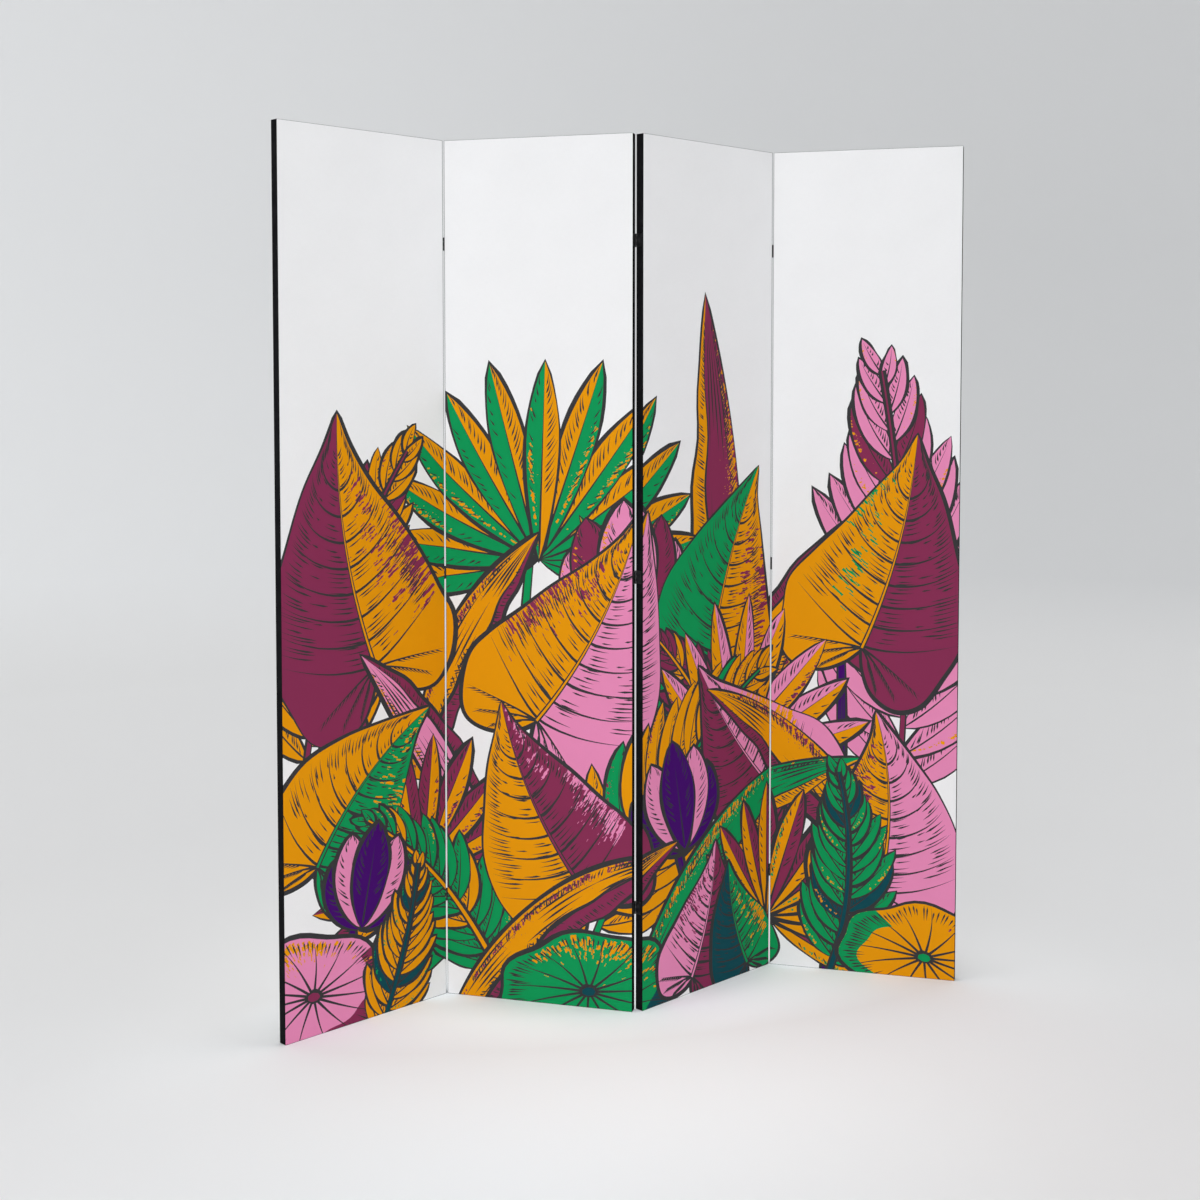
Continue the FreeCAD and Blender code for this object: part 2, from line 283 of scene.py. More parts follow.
def studio_paint_with_painted_light():
    """The seamless studio floor and wall, with painted light: paler pools painted on the floor, and painted
    shade that makes the wall darker to the right.
    """
    finish = Finish("studio_paint_with_painted_light", Specular_IOR_Level=0.1)
    place = finish.add("TexCoord").outputs["Object"]
    parts = finish.add("SeparateXYZ", {0: place}).outputs
    cloudy = finish.noise(place, 0.7, 3.0)
    # Painted shade: the wall and the curve up to it are made paler to the left and darker to the right, as
    # light that falls off away from the left.
    across = finish.ranged(parts["X"], 1.10, 0.885, -1.6, 3.9)
    up = finish.ranged(parts["Z"], 0.0, 1.0, 0.0, 0.3)
    shade = finish.math("MULTIPLY", finish.math("SUBTRACT", across, 1.0), up)
    paint = finish.mixed(cloudy, linear((228, 228, 229)), linear((230, 230, 230)))
    # Painted light: the floor is made paler far off, towards the bend up into the wall.
    away = finish.vector("LENGTH", {0: place}, "Value")
    paint = finish.mixed(finish.ranged(away, 0.0, 1.0, *PAINTED_LIGHT_FAR_REACH), paint, linear((241, 241, 241)))
    # Painted pool of light on the floor in front of the screen, a little cool.
    away = finish.vector("DISTANCE", {0: place, 1: PAINTED_POOL_FRONT_PLACE}, "Value")
    paint = finish.mixed(finish.ranged(away, 1.0, 0.0, *PAINTED_POOL_FRONT_REACH), paint, linear((233, 236, 238)))
    # Painted pool of light on the floor under the screen, drawn long across it.
    drawn_in = finish.vector("MULTIPLY", {0: place, 1: PAINTED_POOL_UNDER_STRETCH})
    away = finish.vector("DISTANCE", {0: drawn_in, 1: PAINTED_POOL_UNDER_PLACE}, "Value")
    paint = finish.mixed(finish.ranged(away, 1.0, 0.0, *PAINTED_POOL_UNDER_REACH), paint, linear((247, 252, 255)))
    cool = finish.mixed(up, paint, linear((237, 238, 239)))
    toned = finish.vector("SCALE", {0: cool, 3: finish.math("ADD", shade, 1.0)})
    finish.dress(Base_Color=toned, Roughness=finish.ranged(cloudy, 0.85, 0.95))
    return finish.material


def carried(points, panel):
    """Points in a panel's own frame, carried to where it stands."""
    turn = math.radians(PANEL_TURNS[panel])
    x, y, z = np.asarray(points, float).T
    corner = PANEL_CORNERS[panel]
    away = x * math.sin(turn) + y * math.cos(turn)
    return np.stack([corner[0] + x * math.cos(turn) - y * math.sin(turn), corner[1] + away, z], 1)


def turned(normals, panel):
    """Directions in a panel's own frame, turned with it."""
    return carried(normals, panel) - carried([(0, 0, 0)], panel)


def placed(name, data):
    """A new object in the scene."""
    thing = bpy.data.objects.new(name, data)
    bpy.context.scene.collection.objects.link(thing)
    return thing


def aimed(name, data, place, ahead):
    """A new lamp or camera in the scene that faces ahead."""
    thing = placed(name, data)
    thing.location = place
    thing.rotation_mode = "QUATERNION"
    thing.rotation_quaternion = ahead.to_track_quat("-Z", "Y")
    return thing


def add_piece(name, points, faces, slots, materials, cloth, normals):
    """A mesh piece. cloth and normals have a row for each corner of each face."""
    mesh = bpy.data.meshes.new(name)
    mesh.from_pydata(points.tolist(), [], faces)
    for material in materials:
        mesh.materials.append(material)
    mesh.polygons.foreach_set("material_index", np.asarray(slots, np.int32))
    mesh.polygons.foreach_set("use_smooth", np.ones(len(faces), bool))
    layer = mesh.uv_layers.new(name="cloth")
    layer.data.foreach_set("uv", np.asarray(cloth, np.float32).ravel())
    mesh.normals_split_custom_set(normals.tolist())
    mesh.update()
    return placed(name, mesh)


def slack_at(points, depth):
    """How far the cloth dips between the bars at points of a panel's face."""
    across = np.clip((points[:, 0] - STILE_END) / (PANEL_WIDTH - 2 * STILE_END), 0, 1)
    dips = np.zeros(len(points))
    for low, high in zip(RAIL_SPANS, RAIL_SPANS[1:]):
        up = np.clip((points[:, 1] - low[1]) / (high[0] - low[1]), 0, 1)
        dips += (np.sin(np.pi * across) * np.sin(np.pi * up)).clip(0) ** 0.7
    return depth * dips


def slack_normals(points, depth):
    """The outward directions of the slack cloth, for a front face."""
    step = 2 * MM
    slopes = [
        (slack_at(points + move, depth) - slack_at(points - move, depth)) / (2 * step)
        for move in (np.array([step, 0]), np.array([0, step]))
    ]
    normals = np.stack([slopes[0], -np.ones(len(points)), slopes[1]], 1)
    return normals / np.linalg.norm(normals, axis=1, keepdims=True)


def rim_order(points):
    """The points on the rim of a canvas's flat, in order round it."""
    share = (points - FACE_MIDDLE) / FACE_HALF
    on_rim = np.flatnonzero(np.abs(np.abs(share).max(1) - 1) < 1e-6)
    x, z = share[on_rim].T
    place = np.select([z <= -1 + 1e-6, x >= 1 - 1e-6, z >= 1 - 1e-6], [x, 2 + z, 4 - x], 6 - z)
    return on_rim[np.argsort(place, kind="stable")]


def wrapped_canvas(name, panel, face, flat, faces, slots, materials, slack):
    """A canvas with its flat as given, its edges folded back round the frame, and its inside."""
    rim = rim_order(flat)
    count = len(rim)
    share = (flat[rim] - FACE_MIDDLE) / FACE_HALF
    outward = np.where(np.abs(share) > 1 - 1e-6, np.sign(share), 0)
    side = outward / np.maximum(np.linalg.norm(outward, axis=1, keepdims=True), 1)
    layers = [
        (CANVAS_FOLD_RADIUS * math.sin(a), CANVAS_FOLD_RADIUS * (1 - math.cos(a)), a)
        for a in np.radians((30, 60, 90))
    ]
    layers += [(CANVAS_FOLD_RADIUS, CANVAS_WRAP, math.pi / 2)]
    outside = len(layers)
    inset = CANVAS_FOLD_RADIUS - CANVAS_THICKNESS
    layers += [(inset, CANVAS_WRAP, 0.0), (inset, CANVAS_THICKNESS, 0.0)]

    points = [np.stack([flat[:, 0], slack_at(flat, slack), flat[:, 1]], 1)]
    normals = [slack_normals(flat, slack)]
    cloth = [flat]
    for grown, deep, angle in layers:
        ring = FACE_MIDDLE + share * (FACE_HALF + grown)
        points.append(np.stack([ring[:, 0], np.full(count, deep), ring[:, 1]], 1))
        lean, back = math.sin(angle), -math.cos(angle)
        normals.append(np.stack([side[:, 0] * lean, np.full(count, back), side[:, 1] * lean], 1))
        cloth.append(flat[rim] + outward * (deep + grown))
    points, normals, cloth = map(np.vstack, (points, normals, cloth))

    rim_ink = rim_slots(rim, faces, slots, len(flat))
    faces, slots = faces.tolist(), slots.tolist()
    before = rim.tolist()
    for number in range(len(layers)):
        first = len(flat) + number * count
        ring = list(range(first, first + count))
        for i, j in zip(range(count), [*range(1, count), 0]):
            faces.append([before[i], ring[i], ring[j], before[j]])
        slots += rim_ink
        if number + 1 == outside:
            shown = len(faces)
        before = ring
    faces.append(before[::-1])
    slots.append(0)
    if face == BACK:
        points[:, 1] = PANEL_DEPTH - points[:, 1]
        normals[:, 1] *= -1
        faces = [f[::-1] for f in faces]
    corners = np.fromiter(chain.from_iterable(faces), int)
    corner_normals = normals[corners]
    hidden = flat_normals(points, faces[shown:])
    corner_normals[-len(hidden):] = hidden
    piece = add_piece(
        name, carried(points, panel), faces, slots, materials, cloth[corners], turned(corner_normals, panel)
    )
    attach(piece, f"panel_{panel}")
    return piece


def rim_slots(rim, faces, slots, count):
    """The material of the face inside each step of the rim."""
    place = np.full(count, -1)
    place[rim] = np.arange(len(rim))
    found = np.zeros(len(rim), int)
    for a, b in zip(faces.T, np.roll(faces, -1, 1).T):
        start, end = place[a], place[b]
        inside = (start >= 0) & (end >= 0) & ((start + 1) % len(rim) == end)
        found[start[inside]] = slots[inside]
    return found.tolist()


def flat_normals(points, faces):
    """The normal of each face, once for each of its corners."""
    rows = []
    for f in faces:
        a, b, c = points[f[0]], points[f[len(f) // 3]], points[f[2 * len(f) // 3]]
        normal = np.cross(b - a, c - a)
        rows += [normal / max(np.linalg.norm(normal), 1e-12)] * len(f)
    return np.array(rows)


# The print is a list of flat shapes, painted in order: (ink, outline, what it is clipped to). Its places are
# in metres from the bottom left corner of the screen laid flat.
PRINT_SEED = 7
PRINT_LATTICE = (16, 60)  # lines of points across and up each face, so that it can dip between the bars
LINE = 5.4 * MM  # half the width of a drawn outline
HATCH = 1.8 * MM  # half the width of a hatch line


def leftward(steps):
    """The unit directions to the left of steps in a plane."""
    left = np.stack([-steps[..., 1], steps[..., 0]], -1)
    return left / np.maximum(np.linalg.norm(left, axis=-1, keepdims=True), 1e-9)


class Rib:
    """A curved centre line. at(t, b) is the point a share t along it and b metres to its left."""

    def __init__(self, start, heading, length, bend, steps=48):
        turns = np.radians(heading) + np.radians(bend) * (np.arange(steps) + 0.5) / steps
        moves = np.stack([np.cos(turns), np.sin(turns)], 1) * (length / steps)
        self.line = np.vstack([[start], np.array(start) + np.cumsum(moves, 0)])
        self.length = length
        self.steps = steps

    def at(self, t, b):
        t = np.asarray(t, float)
        b = np.asarray(b, float)
        place = np.clip(t * self.steps, 0, self.steps)
        low = np.minimum(place.astype(int), self.steps - 1)
        step = self.line[low + 1] - self.line[low]
        along = (t * self.steps - low)[..., None]
        return self.line[low] + step * along + leftward(step) * b[..., None]

    def middle(self, low, high, count):
        """Points along the line itself."""
        return self.at(np.linspace(low, high, count), np.zeros(count))

    def band(self, t, half):
        """The outline of a band with the line as its middle."""
        return np.vstack([self.at(t, half), self.at(t, -half)[::-1]])

    def leaf(self, t, half):
        """The outline of a leaf that ends in a point at both ends."""
        return np.vstack([self.at(t, half), self.at(t, -half)[::-1][1:-1]])


def smooth(points, steps=6):
    """A curve through the points, which are at the share of each step that Catmull and Rom give."""
    p = np.asarray(points, float)
    p = np.vstack([2 * p[0] - p[1], p, 2 * p[-1] - p[-2]])
    u = np.linspace(0, 1, steps, endpoint=False)[:, None]
    pieces = []
    for a, b, c, d in zip(p, p[1:], p[2:], p[3:]):
        square, cube = 2 * a - 5 * b + 4 * c - d, 3 * b - a - 3 * c + d
        pieces.append(0.5 * (2 * b + (c - a) * u + square * u**2 + cube * u**3))
    return np.vstack(pieces + [p[-2:-1]])


def lens(count, peak, power):
    """(shares along, half-widths as shares) of a leaf that is pointed at both ends and widest at peak."""
    t = np.linspace(0, 1, count)
    bent = np.where(t < peak, t / peak / 2, 0.5 + (t - peak) / (1 - peak) / 2)
    return t, np.sin(np.pi * bent) ** power


class Print:
    """The shapes of the print, and the brushes that draw them."""

    def __init__(self, seed):
        self.shapes = []
        self.chance = random.Random(seed)
        self.vary = self.chance.uniform

    def fill(self, ink, outline, within=None):
        self.shapes.append((ink, np.asarray(outline, float), within))

    def stroke(self, path, half, within, taper, ink="line"):
        """A brush line along a path, narrow at its start and end as taper says."""
        path = np.asarray(path, float)
        left = leftward(np.gradient(path, axis=0))
        t = np.linspace(0, 1, len(path))
        start, end = taper
        width = half * np.minimum(1, np.minimum((t + 0.02) / max(start, 1e-6), (1.02 - t) / max(end, 1e-6)))
        width = width[:, None]
        self.fill(ink, np.vstack([path + left * width, (path - left * width)[::-1]]), within)

    def outlined(self, ink, outline, half=LINE):
        """A filled shape with a drawn line of uneven width round it."""
        outline = np.asarray(outline, float)
        left = leftward(np.roll(outline, -1, 0) - np.roll(outline, 1, 0))
        (x, z), (next_x, next_z) = outline.T, np.roll(outline, -1, 0).T
        area = np.sum(x * next_z - next_x * z)
        start = self.vary(0, 2 * math.pi)
        wave = np.linspace(0, 2 * math.pi, len(outline), endpoint=False)
        width = half * (1.15 + 0.5 * np.sin(wave + start) + 0.22 * np.sin(4 * wave + 2 * start))
        self.fill("line", outline - left * math.copysign(1, area) * width[:, None])
        self.fill(ink, outline)
        return outline

    def hatch(self, rib, edge, side, inner, outer, spacing, within, lean=0.16, span=(0.06, 0.93)):
        """Short lines across one side of a leaf. edge gives the half-width at a share along the rib."""
        count = int(rib.length * (span[1] - span[0]) / spacing)
        for number in range(count):
            u = span[0] + (span[1] - span[0]) * (number + self.vary(0.2, 0.8)) / count
            if self.chance.random() < 0.1:
                continue
            low = max(inner + self.vary(-0.06, 0.1), 0.02)
            high = outer + self.vary(-0.3, 0.02) * (outer - inner)
            share = np.linspace(low, high, 5)
            t = u + lean * share**1.4
            half = edge(np.clip(t, 0, 1))
            if half.max() * (high - low) < 5 * MM:
                continue
            path = rib.at(t, side * share * half)
            self.stroke(path, HATCH * self.vary(0.7, 1.25), within, (0.3, 0.9))

    def patches(self, rib, edge, ink, within, count, side=1, near=0.95, lean=0.16, span=(0.15, 0.85)):
        """Dry brush marks that thin out inwards from a leaf's margin. count is for a leaf 0.4 m long."""
        middle = self.vary(*span)
        for number in range(int(count * rib.length / 0.4)):
            depth = abs(self.chance.gauss(0, 0.24))
            u = min(max(self.chance.gauss(middle, 0.13 * (1.25 - depth)), 0.01), 0.97)
            big = max(0.25, 1.1 - 2.2 * depth) * self.vary(0.5, 1.0)
            top = max(near - depth, 0.06)
            share = np.linspace(max(top - 0.17 * big, 0.02), top, 5)
            path = rib.at(u + lean * share**1.4, side * share * edge(np.full(5, u)))
            self.speck(ink, path, 3.6 * MM * big, within)

    def speck(self, ink, path, half, within):
        """A short dry mark with ragged sides."""
        step = path[-1] - path[0]
        left = np.array([-step[1], step[0]]) / max(np.linalg.norm(step), 1e-9)
        rough = [[self.vary(0.15, 1.0) for _ in path] for _ in (0, 1)]
        sides = [path + way * left * half * np.array(rag)[:, None] for way, rag in zip((1, -1), rough)]
        self.fill(ink, np.vstack([sides[0], sides[1][::-1]]), within)


# (share along the rib, share of the length across it) from base to tip. The lobes reach back past the base
HEART_SHARES = (
    (0.0, 0.0), (-0.09, 0.05), (-0.17, 0.14), (-0.19, 0.25), (-0.12, 0.345), (0.02, 0.395), (0.18, 0.395),
    (0.36, 0.345), (0.55, 0.25), (0.72, 0.15), (0.87, 0.06), (1.0, 0.0),
)
HEART_MARGIN = ((0.0, 0.3871), *HEART_SHARES[5:])


def edge_through(shares, half):
    """The half-width at any share along a rib, from the half-widths at some."""
    return lambda at: np.interp(at, shares, half)


def heart_leaf(pr, base, heading, length, bend, ink, other, patch):
    """A heart-shaped leaf with curved veins, one side folded over to show its other face."""
    folded = 1 if bend < 0 else -1
    rib = Rib(base, heading, length, bend)
    shares = np.array(HEART_SHARES)
    sides = []
    for side in (1, -1):
        stretch = pr.vary(0.94, 1.06)
        wave = 1 + 0.035 * np.sin(np.arange(len(shares)) * 2.1 + pr.vary(0, 6))
        points = rib.at(shares[:, 0], side * shares[:, 1] * length * stretch * wave)
        sides.append(smooth(points))
    outline = np.vstack([sides[0], sides[1][::-1][1:-1]])
    pr.outlined(ink, outline)
    spine = rib.middle(0, 1, 18)
    half = sides[0] if folded > 0 else sides[1]
    pr.fill(other, np.vstack([half, spine[::-1]]))
    t, half = np.array(HEART_MARGIN).T
    edge = edge_through(t, half * length)
    pr.patches(rib, edge, patch, outline, 150, -folded)
    pr.patches(rib, edge, patch, outline, 50, -folded, near=0.6)
    for side in (1, -1):
        pr.hatch(rib, edge, side, 0.6, 0.98, 7 * MM, outline)
        pr.hatch(rib, edge, side, 0.05, 0.36, 9 * MM, outline, span=(0.03, 0.85))
        pr.hatch(rib, edge, side, 0.4, 0.6, 30 * MM, outline, span=(0.1, 0.8))
        for number in range(8):
            share = np.linspace(0, 0.97, 12)
            t = 0.01 + 0.1 * number + 0.17 * share**1.5
            path = rib.at(t, side * share * edge(np.clip(t, 0, 1)))
            pr.stroke(path, 2.7 * MM, outline, (0.02, 1.0))
        for back, out in ((-0.16, 0.15), (-0.15, 0.24), (-0.09, 0.33)):
            share = np.linspace(0, 1, 8)
            path = rib.at(back * share**1.2, side * out * length * share)
            pr.stroke(path, 2.5 * MM, outline, (0.02, 1.0))
            for part in range(9):
                start = 0.3 + 0.07 * part
                foot = rib.at(back * start**1.2, side * out * length * start)
                x, y = foot - rib.line[0]
                mark = Rib(foot, math.degrees(math.atan2(y, x)) + side * 24, 22 * MM, 0, 4)
                pr.stroke(mark.line, HATCH * 0.9, outline, (0.2, 0.9))
    pr.stroke(spine, 5.2 * MM, outline, (0.01, 1.0))
    pr.stroke(spine[:-2], 2.2 * MM, outline, (0.01, 1.0), ink)


def stem(pr, base, heading, length, bend, ink):
    """A stalk in one ink."""
    half = 6.5 * MM
    rib = Rib(base, heading, length, bend)
    t = np.linspace(0, 1, 26)
    outline = rib.band(t, half * (1.35 - 0.5 * t))
    pr.outlined(ink, outline, LINE * 0.9)
    for offset in (-0.45, 0.05, 0.5):
        low = pr.vary(0.0, 0.3)
        high = pr.vary(0.6, 0.98)
        share = np.linspace(low, high, 16)
        pr.stroke(rib.at(share, offset * half * np.ones(16)), HATCH * 0.9, outline, (0.4, 0.4))


def fan_leaf(pr, hub, heading, radius, bend, ink, other, patch):
    """A pleated palm leaf: pointed segments that spread from a hub, the middle ones in front."""
    count, spread = 13, 215
    order = sorted(range(count), key=lambda number: -abs(number - (count - 1) / 2))
    for number in order:
        share = number / (count - 1) - 0.5
        reach = radius * (1 - 0.55 * abs(share) ** 1.6) * pr.vary(0.94, 1.05)
        droop = -34 * share * pr.vary(0.7, 1.2)
        rib = Rib(hub, heading + spread * share, reach, droop)
        t, half = lens(16, 0.6, 0.85)
        half = half * (0.082 * radius)
        outline = rib.leaf(t, half)
        pr.outlined(ink, outline, LINE * 0.9)
        fold = 1 if share < 0 else -1
        pr.fill(other, np.vstack([rib.at(t, fold * half), rib.at(t, 0 * half)[::-1][1:-1]]))
        edge = edge_through(t, half)
        if pr.chance.random() < 0.6:
            pr.patches(rib, edge, patch, outline, 70, -fold, lean=0.1)
        pr.stroke(rib.middle(0.02, 0.96, 14), 2.4 * MM, outline, (0.05, 1.0))
        pr.hatch(rib, edge, fold, 0.25, 0.95, 12 * MM, outline, lean=0.12, span=(0.3, 0.95))
        pr.hatch(rib, edge, -fold, 0.55, 0.97, 17 * MM, outline, lean=0.12, span=(0.25, 0.9))


def frond(pr, base, heading, length, bend, ink, other, patch):
    """A feather-shaped frond, its leaflets in pairs along a curved rib."""
    pairs, reach = 15, 0.3
    rib = Rib(base, heading, length, bend)
    for number in range(pairs):
        t = 0.1 + 0.88 * number / (pairs - 1)
        swell = 0.35 + 0.85 * math.sin(math.pi * (0.16 + 0.8 * t) ** 0.9)
        size = length * reach * swell * (1.05 - 0.4 * t)
        for side in (1, -1):
            foot = rib.at(t + 0.012 * side, 0.0)
            ahead = rib.at(min(t + 0.02, 1.0), 0.0) - rib.at(t - 0.02, 0.0)
            lean = math.degrees(math.atan2(ahead[1], ahead[0])) + side * (62 - 34 * t)
            leaflet = Rib(foot, lean, size * pr.vary(0.9, 1.07), -side * pr.vary(14, 34))
            at, half = lens(13, 0.42, 0.8)
            half = half * (0.105 * size + 3.5 * MM)
            outline = leaflet.leaf(at, half)
            tone = other if (number * 2 + side) % 7 == 0 else ink
            pr.outlined(tone, outline, LINE * 0.75)
            edge = edge_through(at, half)
            if pr.chance.random() < 0.4:
                pr.patches(leaflet, edge, patch, outline, 60, side, lean=0.1)
            pr.stroke(leaflet.middle(0, 0.93, 12), 1.9 * MM, outline, (0.05, 1.0))
            pr.hatch(leaflet, edge, -side, 0.2, 0.95, 9 * MM, outline, lean=0.13)
    t = np.linspace(0, 1, 30)
    pr.outlined(other, rib.band(t, (4.6 - 3.2 * t) * MM), LINE * 0.7)


def blade(pr, base, heading, length, bend, ink, other, patch):
    """A long strap-like leaf with lines along it and one wavy margin turned over."""
    rib = Rib(base, heading, length, bend)
    t = np.linspace(0, 1, 34)
    half = 0.045 * length + 14 * MM
    profile = half * (0.42 + 0.75 * np.sin(math.pi * np.clip(t * 0.86 + 0.06, 0, 1)) ** 0.8) * (1 - t**5.5)
    start = pr.vary(0, 6)
    wavy = profile * (1 + 0.10 * np.sin(19 * t + start) + 0.05 * np.sin(41 * t))
    side = pr.chance.choice((1, -1))
    margins = {side: wavy, -side: profile}
    outline = np.vstack([rib.at(t, margins[1]), rib.at(t, -margins[-1])[::-1][1:]])
    pr.outlined(ink, outline)
    fold = 0.38 + 0.2 * np.cos(3 * t + start) + 0.07 * np.sin(23 * t)
    pr.fill(other, np.vstack([rib.at(t, side * wavy * 1.02), rib.at(t, side * wavy * fold)[::-1]]), outline)
    edge = edge_through(t, profile)
    pr.patches(rib, edge, patch, outline, 110, -side, lean=0.04, span=(0.4, 0.85))
    pr.patches(rib, edge, patch, outline, 60, -side, lean=0.04, span=(0.15, 0.6))
    pr.stroke(rib.at(t[1:-1], side * (wavy * fold)[1:-1]), 3.6 * MM, outline, (0.05, 0.5))
    for number in range(9):
        offset = -0.85 + 0.22 * number
        for piece in range(3):
            low = 0.02 + 0.32 * piece + pr.vary(0, 0.1)
            share = np.linspace(low, low + pr.vary(0.12, 0.3), 12)
            share = share[share < 0.97]
            if len(share) > 4 and offset < 0.35:
                path = rib.at(share, side * offset * edge(share))
                pr.stroke(path, HATCH, outline, (0.3, 0.6))
    pr.hatch(rib, edge, side, 0.55, 1.0, 7 * MM, outline, lean=0.03)
    pr.hatch(rib, edge, -side, 0.62, 1.0, 8 * MM, outline, lean=0.05)
    pr.hatch(rib, edge, side, 0.1, 0.42, 9 * MM, outline, lean=0.1, span=(0.05, 0.5))
    pr.hatch(rib, edge, side, 0.1, 0.42, 9.9 * MM, outline, lean=-0.12, span=(0.15, 0.5))


def bud(pr, base, heading, length, bend, ink, other, patch=None):
    """A half-open flower of pointed petals, the outer ones behind."""
    for turn, size in ((52, 0.78), (-50, 0.8), (29, 0.93), (-27, 0.92), (0, 1.0)):
        rib = Rib(base, heading + turn, length * size, -turn * 0.75)
        t, half = lens(18, 0.55, 0.75)
        half = half * length * 0.2
        outline = rib.leaf(t, half)
        pr.outlined(ink if turn in (0, 52, -50) else other, outline)
        edge = edge_through(t, half)
        if patch:
            pr.patches(rib, edge, patch, outline, 60, 1, lean=0.1, span=(0.5, 0.9))
        for side in (1, -1):
            pr.hatch(rib, edge, side, 0.45, 0.95, 10 * MM, outline, lean=0.2, span=(0.2, 0.9))
        pr.stroke(rib.middle(0.03, 0.8, 14), 2.2 * MM, outline, (0.1, 1.0))


def pad_leaf(pr, middle, heading, radius, bend, ink, other, patch):
    """A round floating-leaf shape seen at a slant, with veins from its middle to a waved rim."""
    squash = 0.62
    turn = np.radians(heading)
    angles = np.linspace(0, 2 * math.pi, 56, endpoint=False)
    start = pr.vary(0, 6)

    def point(angle, share):
        r = radius * share * (1 + 0.045 * np.sin(7 * angle + start) + 0.03 * np.sin(3 * angle + 2 * start))
        x, y = r * np.cos(angle), r * squash * np.sin(angle)
        right = middle[0] + x * np.cos(turn) - y * np.sin(turn)
        return np.stack([right, middle[1] + x * np.sin(turn) + y * np.cos(turn)], -1)

    outline = pr.outlined(ink, point(angles, 1.0))
    rim = pr.vary(0, 6)
    arc = np.linspace(rim, rim + 2.6, 26)
    pr.fill(other, np.vstack([point(arc, 1.0), point(arc, 0.74 + 0.08 * np.sin(2 * arc))[::-1]]), outline)
    for number in range(150):
        angle = pr.chance.gauss(rim + 3.8, 0.5)
        depth = abs(pr.chance.gauss(0, 0.2))
        top = max(0.97 - depth, 0.2)
        share = np.linspace(top - 0.07 * (1.2 - depth), top, 5)
        pr.speck(patch, point(np.full(5, angle), share), 3.4 * MM * (1.15 - 2 * depth), outline)
    for number in range(15):
        angle = rim + 2 * math.pi * number / 15
        share = np.linspace(0.07, 0.97, 12)
        pr.stroke(point(angle + 0.1 * share**2, share), 2.6 * MM, outline, (0.02, 1.0))
    for number in range(96):
        angle = 2 * math.pi * (number + pr.vary(-0.3, 0.3)) / 96
        low = pr.vary(0.66, 0.8)
        share = np.linspace(low, pr.vary(0.9, 0.98), 5)
        pr.stroke(point(np.full(5, angle), share), HATCH, outline, (0.8, 0.2))
    pr.outlined(other, point(angles[::4], 0.075), LINE * 0.8)


